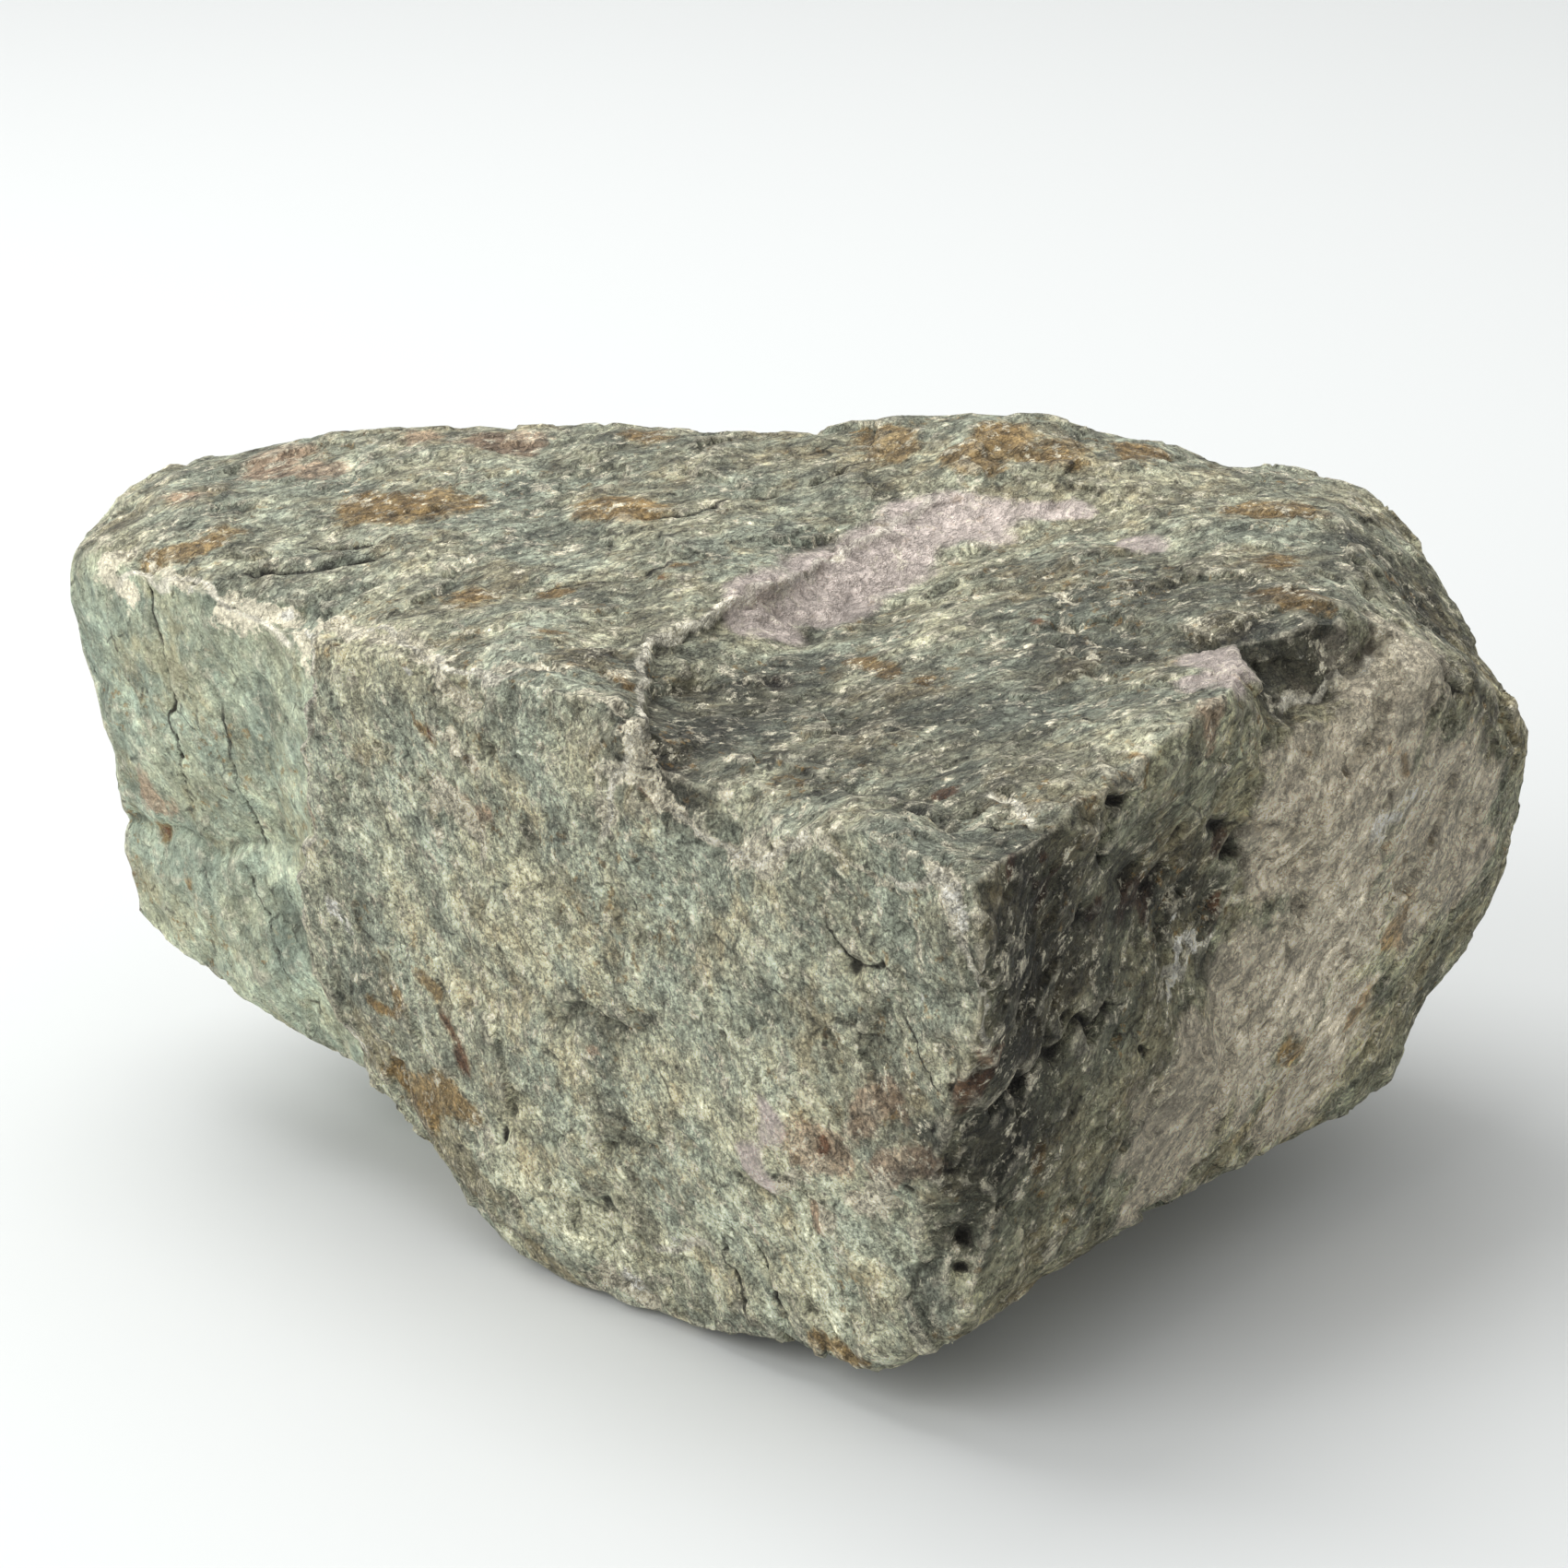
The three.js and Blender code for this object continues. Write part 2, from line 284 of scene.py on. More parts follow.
# each pit: its middle, radius and depth, in millimetres
pits = [
    ((48, -129, 84), 2.4, 4.0), ((46, -131, 82), 2.2, 3.5), ((44, -134, 79), 2.6, 4.0),
    ((60, -112, 94), 1.8, 2.5), ((37, -135, 50), 2.2, 2.5), ((35, -137, 42), 2.0, 2.5),
    ((33, -140, 69), 1.8, 2.0), ((55, -119, 90), 1.8, 2.5), ((77, -93, 74), 1.5, 2.0),
    ((99, -57, 109), 2.4, 3.0), ((70, -98, 137), 2.8, 4.0), ((67, -102, 128), 2.4, 4.0),
    ((74, -88, 115), 4.0, 4.0), ((63, -106, 112), 3.0, 3.0), ((80, -78, 111), 4.0, 4.0),
    ((12, -126, 110), 2.2, 3.0), ((84, -76, 119), 1.8, 3.0), ((68, -100, 124), 2.0, 3.0),
    ((100, -55, 107), 2.0, 3.0), ((96, -61, 117), 3.0, 3.0), ((-16, -102, 84), 1.8, 2.0),
    ((-68, -49, 36), 1.8, 2.4), ((24, -137, 64), 1.8, 2.2), ((-5, -28, 140), 3.0, 2.0),
]

# pale bruised lines along brows, arris and ridge
paleLines = {
    "arrisTop": [(-113, 1, 142), (-112, -4, 132), (-114, -3, 120), (-115, -2, 110), (-114, -2, 100)],
    "arrisFoot": [(-114, -2, 92), (-116, 2, 84), (-118, 5, 74), (-118, 5, 64), (-115, 3, 57), (-110, -1, 49),
                  (-104, -6, 42)],
    "scarp": [(-33, -80, 145), (-34, -60, 146), (-34, -26, 147), (-24, -11, 149), (-16, -2, 150),
              (-3, 13, 151),
              (8, 29, 151), (22, 46, 154), (31, 55, 156)],
    "wedge": [(-37, -80, 142), (-41, -78, 131), (-42, -77, 124)],
    "frontBrow": [(-23, -91, 130), (-18, -96, 127), (-13, -100, 123), (-7, -108, 127), (-1, -112, 131)],
    "ridge": [(22, -135, 133), (30, -140, 134), (32, -144, 130), (34, -146, 125), (36, -148, 119),
              (39, -149, 114),
              (40, -147, 105)],
    "innerStreak": [(44, -103, 140), (49, -113, 139)],
    "leftBrow": [(-160, 46, 140), (-152, 41, 143), (-143, 33, 144), (-136, 25, 143), (-129, 19, 141),
                 (-122, 11, 139)],
    "topBrow": [(-99, -5, 145), (-89, -17, 146), (-80, -33, 145), (-73, -40, 144), (-63, -44, 147)],
    "notchCrest": [(113, -31, 137), (124, -23, 138), (133, -14, 140)],
    "footBand": [(-29, -80, 23), (-20, -88, 27)],
    "flankVein": [(143, -15, 108), (138, -21, 106), (137, -23, 105), (133, -26, 97)],
    "hollowVein": [(91, -66, 91), (87, -73, 90), (83, -79, 88)],
}

# Painted tone by place: points, reach in millimetres, and factor. It is partly the stone's own tone and
# partly painted shade and painted light: darker under the shelf, beside the ridge and in the notch and
# hollows, lighter at the front foot and low on the flank, so it stays the same under other light.
toneAndPaintedLight = {
    "shelf": ([(-13, -47, 140), (12, -49, 140), (36, -58, 141)], 34, 0.46),
    "scarpShadow": ([(-30, -78, 143), (-26, -82, 139), (-21, -87, 137)], 9, 0.38),
    "lip": ([(10, -96, 138), (37, -107, 137)], 12, 0.60),
    "rightCorner": ([(83, 2, 150), (100, 3, 152), (82, -22, 147)], 28, 0.45),
    "ridgeSide": ([(52, -126, 125), (52, -126, 105), (46, -132, 72)], 22, 0.14),
    "hollowSide": ([(68, -98, 112), (85, -73, 107)], 20, 0.50),
    "notch": ([(108, -25, 146), (115, -24, 143), (122, -18, 144)], 12, 0.44),
    "frontFoot": ([(-51, -64, 27), (-21, -89, 32), (7, -119, 39)], 24, 1.44),
    "flank": ([(151, -4, 106), (155, 6, 72)], 34, 1.02),
    "flankLow": ([(127, -26, 50), (110, -49, 48)], 26, 1.50),
    "shelfHead": ([(-19, -72, 141), (-22, -50, 141)], 12, 0.62),
    "underHollow": ([(73, -97, 75), (84, -85, 64)], 20, 0.68),
    "shoulderTop": ([(138, 43, 148), (150, 35, 137)], 20, 0.42),
    "leftTop": ([(-109, 45, 151), (-63, 16, 151)], 24, 0.88),
    "backTop": ([(-64, 86, 159), (-9, 72, 159)], 30, 0.88),
    "paleFace": ([(118, -42, 111), (131, -27, 78)], 24, 1.28),
    "besideRidge": ([(13, -127, 103), (13, -129, 78)], 24, 0.84),
}

# each stain and patch of painted shade: its colour layer, then patches as (points, radius in millimetres)
stainsAndShade = {
    "bruise": [
        ([(-169, 55, 139), (-160, 46, 140), (-152, 41, 143), (-143, 33, 144)], 2.9),
        ([(-136, 25, 143), (-129, 19, 141), (-122, 11, 139), (-115, 2, 139)], 3.4),
        ([(-113, 1, 139), (-112, -5, 132), (-114, -4, 120), (-115, -2, 110)], 1.5),
        ([(-116, 2, 86), (-118, 5, 78), (-118, 6, 68), (-115, 3, 57), (-110, -1, 49)], 1.7),
        ([(-112, 7, 143), (-99, -5, 145), (-89, -17, 146), (-80, -33, 145), (-73, -40, 144)], 3.7),
        ([(-73, -40, 144), (-63, -44, 148), (-53, -51, 149)], 2.9),
        ([(-46, -59, 148), (-40, -69, 149), (-33, -78, 145)], 3.4),
        ([(-33, -79, 144), (-37, -80, 138), (-41, -78, 131), (-42, -77, 124)], 5.2),
        ([(-30, -84, 135), (-27, -88, 132)], 4.6),
        ([(-23, -91, 130), (-18, -96, 127), (-13, -100, 123)], 2.3),
        ([(-13, -101, 123), (-7, -108, 128), (-1, -112, 132), (5, -118, 136)], 3.4),
        ([(5, -118, 134), (13, -126, 132), (22, -135, 133), (29, -139, 134)], 2.9),
        ([(30, -140, 134), (32, -144, 130), (34, -146, 125), (36, -148, 120)], 2.8),
        ([(36, -148, 120), (39, -149, 114), (40, -147, 105)], 1.5),
        ([(-34, -26, 147), (-28, -18, 148), (-24, -11, 149), (-16, -2, 150), (-3, 13, 151), (8, 29, 151),
          (22, 46, 154), (31, 55, 156)], 1.4),
        ([(62, 11, 149), (64, -11, 147), (69, -32, 145), (76, -46, 146), (88, -54, 148)], 2.5),
        ([(44, -103, 140), (49, -113, 139)], 1.4), ([(-68, -49, 25), (-66, -49, 18)], 3.4),
        ([(-74, -40, 19), (-67, -44, 10), (-58, -50, 4), (-47, -60, 4)], 2.5),
        ([(-43, -65, 6), (-38, -70, 8), (-33, -72, 5)], 4.6), ([(-30, -76, 5)], 2.5),
        ([(-23, -92, 54), (-15, -101, 51), (-7, -109, 50), (2, -119, 54)], 2.5),
        ([(12, -128, 58), (19, -133, 61)], 4), ([(5, -120, 48), (8, -122, 47)], 3.4),
        ([(113, -31, 136), (124, -23, 137), (133, -14, 139)], 2.3), ([(136, -5, 143), (145, 1, 139)], 2.3),
        ([(-78, -40, 131), (-72, -46, 129)], 2.8), ([(-83, -35, 113), (-72, -47, 112)], 4.6),
    ],
    "white": [
        ([(-108, -7, 76), (-107, -8, 71), (-104, -11, 70)], 3), ([(-90, -27, 69)], 2.5),
        ([(-84, -32, 71), (-81, -35, 71)], 2.2), ([(-61, -57, 76), (-59, -59, 76)], 2),
        ([(-14, -100, 124)], 2.6), ([(-17, -97, 126)], 1.8), ([(25, -138, 111)], 2.2),
        ([(9, -124, 107), (12, -126, 106)], 2.4), ([(-29, -80, 23), (-20, -88, 27)], 1.6),
        ([(-66, -50, 23)], 2.6), ([(-39, -70, 10), (-36, -71, 8)], 3.2),
        ([(-89, -28, 139), (-88, -29, 137)], 1.6), ([(-111, 4, 41), (-109, 2, 39)], 2.4),
        ([(143, -15, 108), (138, -21, 106)], 2.2), ([(137, -23, 105), (133, -26, 97)], 2.4),
        ([(89, -69, 91), (83, -79, 88)], 2.4), ([(85, -72, 99)], 2.6),
        ([(32, -144, 130), (35, -146, 126)], 2), ([(-151, 37, 137)], 2), ([(-143, 32, 144)], 2.2),
        ([(-122, 12, 139), (-114, 4, 141)], 2), ([(115, -22, 146)], 1.2), ([(-4, -105, 25)], 1.4),
        ([(-96, -18, 51), (-95, -19, 48)], 1.8),
    ],
    "pink": [
        ([(-11, 2, 150), (-3, 11, 149)], 6.8), ([(2, 17, 149), (15, 29, 148), (25, 38, 150)], 9.5),
        ([(8, 16, 145), (19, 24, 145)], 6.8), ([(28, 50, 154), (40, 53, 154), (46, 53, 154)], 8.1),
        ([(56, 54, 154), (67, 56, 155)], 4.7), ([(82, 35, 152)], 5.4),
        ([(95, -36, 148), (96, -48, 148)], 8.1), ([(90, -50, 148)], 5.4), ([(-10, -4, 147),
          (-3, 2, 146)], 5.4),
        ([(-9, -109, 57)], 5.4), ([(-6, -113, 65)], 4.1),
    ],
    "salmon": [
        ([(-115, -2, 106), (-114, -2, 99), (-113, -4, 94)], 2), ([(1, -119, 63), (8, -125, 68)], 6),
        ([(14, -130, 76), (20, -135, 80)], 5), ([(19, -134, 64), (28, -140, 68)], 4),
        ([(12, -128, 58)], 3), ([(-72, -47, 115)], 4), ([(-75, -43, 117)], 3), ([(91, -71, 147)], 5),
        ([(41, -144, 98)], 4), ([(-114, 1, 55), (-110, -2, 51)], 2.5), ([(4, -118, 46)], 4),
        ([(-129, 99, 155), (-118, 92, 156)], 8), ([(-74, 97, 160), (-69, 95, 160)], 8),
        ([(-150, 75, 152)], 6), ([(-92, 103, 160)], 6), ([(-46, -72, 65)], 2.5),
        ([(-32, -83, 135), (-26, -88, 132)], 3.5), ([(-159, 48, 88), (-150, 42, 81)], 2),
    ],
    "ochre": [
        ([(-103, 61, 154), (-92, 58, 155), (-83, 62, 155)], 8), ([(-48, 55, 156), (-37, 47, 156)], 7),
        ([(113, 57, 155), (120, 57, 155)], 8), ([(106, 57, 155)], 6), ([(45, 76, 164)], 8),
        ([(52, 85, 166)], 8), ([(65, 80, 163)], 8), ([(85, 85, 161)], 7),
        ([(-135, 55, 150), (-146, 46, 147), (-156, 45, 143)], 4), ([(-76, 9, 149)], 7),
        ([(-56, 7, 150)], 5), ([(-57, -23, 150)], 4), ([(111, -1, 152), (119, -5, 152)], 6),
        ([(114, 23, 152)], 6), ([(-37, 94, 162)], 7), ([(22, 86, 163)], 8),
        ([(-22, 22, 154), (-31, 12, 152)], 2), ([(-89, -29, 129), (-83, -35, 126)], 2.2),
        ([(71, -92, 142), (75, -92, 139)], 1.8), ([(141, -18, 119)], 2.6), ([(136, -23, 117)], 2),
        ([(116, -43, 59), (113, -46, 56)], 3), ([(133, -20, 57)], 4), ([(52, -123, 62)], 3),
        ([(143, -10, 78), (140, -15, 71)], 3.5), ([(-94, -18, 38), (-86, -29, 37), (-77, -40, 39)], 6),
        ([(-100, -16, 58), (-84, -33, 66)], 3), ([(-156, 48, 78)], 3),
        ([(-148, 38, 67), (-147, 37, 62)], 2), ([(14, -17, 142), (21, -26, 143)], 3),
        ([(31, -30, 143)], 3), ([(-42, -45, 147), (-38, -48, 146)], 3), ([(102, 3, 152)], 4),
        ([(129, 1, 149)], 3), ([(4, -108, 11), (15, -123, 17)], 3),
    ],
    "rust": [
        ([(-81, -37, 60), (-79, -39, 56), (-77, -40, 52)], 3), ([(35, -144, 90), (39, -143, 91)], 4.5),
        ([(73, -88, 110), (77, -83, 106)], 5), ([(65, -102, 110)], 3),
        ([(51, -125, 127), (56, -117, 125)], 2), ([(46, -128, 136)], 2.5), ([(54, -119, 136)], 2.2),
        ([(30, -101, 138)], 3), ([(-5, -29, 140)], 3.5), ([(-54, -65, 108)], 1.6), ([(96, -60, 115)], 3),
        ([(-31, 11, 152), (-28, 15, 153)], 1.4), ([(-84, -34, 127)], 1.8), ([(-153, 59, 149)], 1.6),
        ([(56, -9, 147)], 2), ([(95, -61, 97)], 2.5), ([(37, -142, 86)], 2.5),
        ([(6, -123, 69), (4, -121, 65)], 1.4), ([(-156, 48, 78)], 1.6),
    ],
    "rim": [
        ([(-102, -8, 44), (-95, -16, 38), (-88, -25, 32)], 6),
        ([(-88, -25, 32), (-83, -31, 27), (-74, -41, 20)], 6),
        ([(-74, -41, 20), (-65, -47, 10), (-56, -52, 5)], 5),
    ],
    "pale": [
        ([(134, -24, 125), (129, -31, 116), (126, -34, 106)], 18.7),
        ([(126, -34, 106), (124, -36, 95), (122, -37, 84)], 20.4), ([(122, -37, 84), (116, -43, 75)], 15.3),
        ([(151, -3, 104), (147, -8, 85)], 17), ([(161, 10, 101), (160, 9, 83)], 11.9),
        ([(104, -55, 72), (97, -66, 62)], 17), ([(90, -77, 58), (84, -83, 49)], 17),
        ([(126, -28, 53), (115, -38, 41)], 15.3), ([(140, -15, 133), (145, -7, 137)], 13.6),
        ([(112, -47, 120), (109, -48, 107)], 10.2),
    ],
    # dark spots of the stone, and painted shade beside the scarp, on the shelf, in the notch and in the
    # hollow right of the ridge
    "darkAndPaintedShade": [
        ([(-30, -78, 143), (-26, -82, 139), (-23, -87, 137)], 5), ([(-21, -65, 142), (-13, -55, 140)], 8),
        ([(-9, -31, 140), (-3, -22, 141), (5, -13, 141)], 6), ([(6, 4, 142), (14, 14, 143)], 5),
        ([(15, -99, 139), (24, -106, 139), (33, -115, 137)], 3.5),
        ([(43, -116, 138), (53, -118, 137)], 1.6), ([(70, -98, 138), (69, -100, 134)], 3.5),
        ([(66, -105, 131), (69, -97, 120)], 3), ([(73, -89, 115), (77, -82, 108)], 8),
        ([(88, -70, 111), (90, -65, 101)], 7), ([(100, -56, 113), (102, -53, 102)], 3),
        ([(83, -78, 121), (84, -75, 116)], 2.2), ([(96, -61, 117)], 5),
        ([(42, -144, 125), (46, -137, 107)], 9), ([(57, -116, 114), (65, -103, 102)], 8),
        ([(90, -66, 96), (95, -63, 88)], 6), ([(68, -101, 89), (60, -112, 88), (55, -119, 86)], 2.4),
        ([(49, -128, 83), (43, -134, 79), (37, -139, 76)], 3),
        ([(105, -22, 149), (111, -23, 147), (120, -19, 148)], 7), ([(106, -30, 143), (112, -30, 138)], 7),
        ([(117, -25, 140), (122, -24, 137)], 5), ([(127, -16, 141), (132, -10, 143)], 3),
        ([(139, -17, 130), (139, -19, 123)], 3), ([(161, 11, 122), (162, 11, 112)], 5),
        ([(149, 2, 136), (151, -2, 132), (155, 3, 128)], 1.8), ([(33, -138, 61), (35, -135, 49)], 7),
        ([(28, -135, 40), (27, -136, 34)], 6), ([(31, -142, 80), (29, -141, 75)], 4),
        ([(115, -41, 47), (113, -39, 38)], 3), ([(-123, 32, 148), (-112, 33, 149), (-100, 35, 151)], 2.2),
        ([(-113, 41, 150), (-101, 41, 152)], 1.4), ([(-65, 16, 151), (-71, 15, 151)], 2.5),
        ([(-79, -28, 147), (-74, -30, 148)], 3), ([(-41, -76, 50)], 5), ([(-68, -49, 36)], 2),
        ([(-16, -102, 84)], 2), ([(12, -126, 110)], 2.4), ([(-94, -23, 111)], 4), ([(-61, -59, 114)], 3),
        ([(-67, -52, 102)], 2), ([(24, -137, 64)], 2.5), ([(-172, 67, 143), (-161, 71, 149)], 5),
        ([(-137, 63, 151), (-132, 56, 151)], 3), ([(-9, -98, 14)], 4), ([(3, -111, 21)], 4),
        ([(-34, -74, 12)], 2), ([(93, 23, 152)], 5), ([(137, 47, 149)], 7), ([(148, 40, 140)], 7),
        ([(15, 13, 143)], 5), ([(-58, 52, 155)], 3), ([(73, -23, 146), (79, -27, 146)], 4),
        ([(-80, -33, 145)], 2), ([(-36, -76, 33), (-34, -76, 26)], 4), ([(-24, -89, 41)], 4),
        ([(-44, -27, 148), (-50, -42, 149)], 4), ([(-80, 38, 153), (-86, 31, 152)], 2),
        ([(-9, 30, 154), (-4, 35, 155)], 2), ([(6, 41, 154), (11, 42, 154)], 1.4),
        ([(-55, -64, 72), (-46, -72, 76), (-33, -84, 80)], 3),
        ([(62, 5, 149), (63, -15, 146), (68, -26, 145)], 2.6),
    ],
}


def coordinatesOf(mesh):
    flat = np.empty(len(mesh.vertices) * 3, np.float32)
    mesh.vertices.foreach_get("co", flat)
    return flat.reshape(-1, 3).astype(float)


def normalsOf(mesh):
    flat = np.empty(len(mesh.vertices) * 3, np.float32)
    mesh.vertex_normals.foreach_get("vector", flat)
    return flat.reshape(-1, 3).astype(float)


def keepAttribute(mesh, name, values):
    layer = mesh.attributes.get(name) or mesh.attributes.new(name, "FLOAT", "POINT")
    layer.data.foreach_set("value", np.asarray(values, np.float32))


# distance, in millimetres, from every corner of the mesh to a line of points
def distanceToLine(places, points):
    ends = [np.array(spot(*point)) for point in points]
    nearest = np.linalg.norm(places - ends[0], axis=1)
    for start, end in zip(ends, ends[1:]):
        along = end - start
        share = np.clip((places - start) @ along / (along @ along), 0, 1)
        gap = np.linalg.norm(places - start - share[:, None] * along, axis=1)
        nearest = np.minimum(nearest, gap)
    return nearest / mm


# distance along the surface, in millimetres, to the nearest of several lines, negative on one side,
# and the plain distance to it
def sideOfLines(places, normals, lines):
    nearest = np.full(len(places), 1e9)
    side = np.ones(len(places))
    for points in lines:
        ends = [np.array(spot(*point)) for point in points]
        for start, end in zip(ends, ends[1:]):
            along = end - start
            share = np.clip((places - start) @ along / (along @ along), 0, 1)
            offset = places - start - share[:, None] * along
            gap = np.linalg.norm(offset, axis=1) / mm
            closer = gap < nearest
            nearest = np.where(closer, gap, nearest)
            across = np.cross(normals, along)
            turn = np.einsum("ij,ij->i", across, offset) / np.linalg.norm(across, axis=1).clip(1e-9)
            side = np.where(closer, turn / mm, side)
    return np.clip(side, -12, 12), nearest


# repeatable wobble, so that cracks don't run straight
def wobble(places, size, height):
    offset = np.zeros_like(places)
    generator = np.random.default_rng(7)
    for _ in range(5):
        direction = generator.normal(size=3)
        direction *= 2 * math.pi / size / np.linalg.norm(direction)
        push = generator.normal(size=3)
        phase = generator.uniform(0, 2 * math.pi)
        offset += np.sin(places @ direction + phase)[:, None] * push
    return offset * height / 2


# 0 on the high side of a brow and 1 just past it on the low side, fading out with distance
def belowStep(places, points, lowSide, reach):
    ends = [np.array(spot(*point)) for point in points]
    nearest = np.full(len(places), 1e9)
    across = np.zeros(len(places))
    for start, end in zip(ends, ends[1:]):
        along = end - start
        share = np.clip((places - start) @ along / (along @ along), 0, 1)
        offset = places - start - share[:, None] * along
        gap = np.linalg.norm(offset, axis=1)
        closer = gap < nearest
        nearest = np.where(closer, gap, nearest)
        across = np.where(closer, offset @ np.array(lowSide), across)
    fall = np.clip((across / mm + 0.2) / 1.4, 0, 1)
    ease = np.clip(1 - nearest / mm / reach, 0, 1)
    return fall * ease * ease * (3 - 2 * ease)


# 1 on the end face, which stops sharply at its arris
def endFaceShare(places, normals):
    brow, lowSide, _, _ = steps["arris"]
    beyond = belowStep(places, brow, lowSide, 400)
    facing = np.clip((normals @ np.array((-0.72, -0.62, -0.3)) - 0.15) / 0.3, 0, 1)
    return np.clip(beyond * 1.6, 0, 1) * facing * np.clip((147 * mm - places[:, 2]) / (4 * mm), 0, 1)


def markSurface(mesh):
    places = coordinatesOf(mesh)
    normals = normalsOf(mesh)
    bent = places + wobble(places, 11 * mm, 1.2 * mm)
    carve = np.zeros(len(places))
    crackMask = np.zeros(len(places))
    for points, halfWidth, depth, darkness in cracks.values():
        share = np.exp(-((distanceToLine(bent, points) / halfWidth) ** 2))
        carve += depth * mm * share
        crackMask = np.maximum(crackMask, darkness * share)
    for points, lowSide, drop, reach in steps.values():
        carve += drop * mm * belowStep(bent, points, lowSide, reach)
    # pits carve the surface and are painted dark in full, as painted shade
    for place, radius, depth in pits:
        share = np.exp(-((distanceToLine(bent, [place]) / radius) ** 2))
        carve += depth * mm * share
        crackMask = np.maximum(crackMask, share)
    keepAttribute(mesh, "carve", carve)
    keepAttribute(mesh, "crack", crackMask)

    soft = places + wobble(places, 17 * mm, 2.4 * mm)
    for name, patches in stainsAndShade.items():
        layerShare = np.zeros(len(places))
        for points, radius in patches:
            layerShare = np.maximum(layerShare, 1 - distanceToLine(soft, points) / (1.6 * radius))
        keepAttribute(mesh, name, np.clip(layerShare, 0, 1))
    # tone by place, partly the stone's own and partly painted shade and painted light
    toneWithPaintedLight = np.ones(len(places))
    for points, reach, factor in toneAndPaintedLight.values():
        toneWithPaintedLight *= 1 + (factor - 1) * np.exp(-((distanceToLine(soft, points) / reach) ** 2))
    keepAttribute(mesh, "toneWithPaintedLight", toneWithPaintedLight)

    darkLines = [points for points, _, _, darkness in cracks.values() if darkness >= 0.6]
    for name, lines in (("darkLine", darkLines), ("paleLine", paleLines.values())):
        side, gap = sideOfLines(bent, normals, lines)
        keepAttribute(mesh, name + "Side", side)
        keepAttribute(mesh, name + "Near", np.clip(1 - gap / 9, 0, 1))

    rightFace = np.clip((normals @ np.array((0.81, -0.585, 0.0)) - 0.35) / 0.35, 0, 1)
    frontFace = np.clip((normals @ np.array((-0.7, -0.7, 0.0)) - 0.2) / 0.5, 0, 1)
    leftEnd = endFaceShare(places, normals)
    keepAttribute(mesh, "rightFace", rightFace)
    keepAttribute(mesh, "frontFace", frontFace * (1 - leftEnd))
    keepAttribute(mesh, "leftEnd", leftEnd)
    print("surface marked:", len(places), "corners")


rockShape = {
    "fineness": 3,  # rounds of subdivision
    "facetSoftening": 4,
    "edgeBlur": 60,  # rounds of blur that an edge is compared with
    "edgeSharpness": 1.0,
    "ridgeBlur": 6,  # rounds of blur that a ridge is told from its surroundings by
    "lumpSize": 0.035,
    "lumpHeight": 0.9 * mm,
    "chipSize": 0.021,
    "chipSlope": 0.085,
    "smallChipSize": 0.0085,
    "smallChipSlope": 0.11,
    "ledgeSpacing": 0.009,
    "ledgeHeight": 0.4 * mm,
    "grainSize": 0.0045,
    "grainHeight": 0.42 * mm,
    "crumbleSize": 0.0075,
    "crumbleDepth": 2.2 * mm,
    "pitSize": 0.006,
    "pitDepth": 1.8 * mm,
    "trianglesKept": 194000,
}


def attributeNode(tree, name):
    return addNode(
        tree, "GeometryNodeInputNamedAttribute", {"Name": name}, data_type="FLOAT"
    ).outputs["Attribute"]


# the mesh's places blurred along its surface
def blurredPlace(tree, place, rounds):
    blur = tree.nodes.new("GeometryNodeBlurAttribute")
    blur.data_type = "FLOAT_VECTOR"
    tree.links.new(place, blur.inputs["Value"])
    blur.inputs["Iterations"].default_value = rounds
    return blur.outputs["Value"]


def startTree(name):
    tree = bpy.data.node_groups.new(name, "GeometryNodeTree")
    tree.interface.new_socket("Geometry", in_out="INPUT", socket_type="NodeSocketGeometry")
    tree.interface.new_socket("Geometry", in_out="OUTPUT", socket_type="NodeSocketGeometry")
    place = tree.nodes.new("GeometryNodeInputPosition").outputs[0]
    normal = tree.nodes.new("GeometryNodeInputNormal").outputs[0]
    geometry = tree.nodes.new("NodeGroupInput").outputs[0]
    return tree, place, normal, geometry


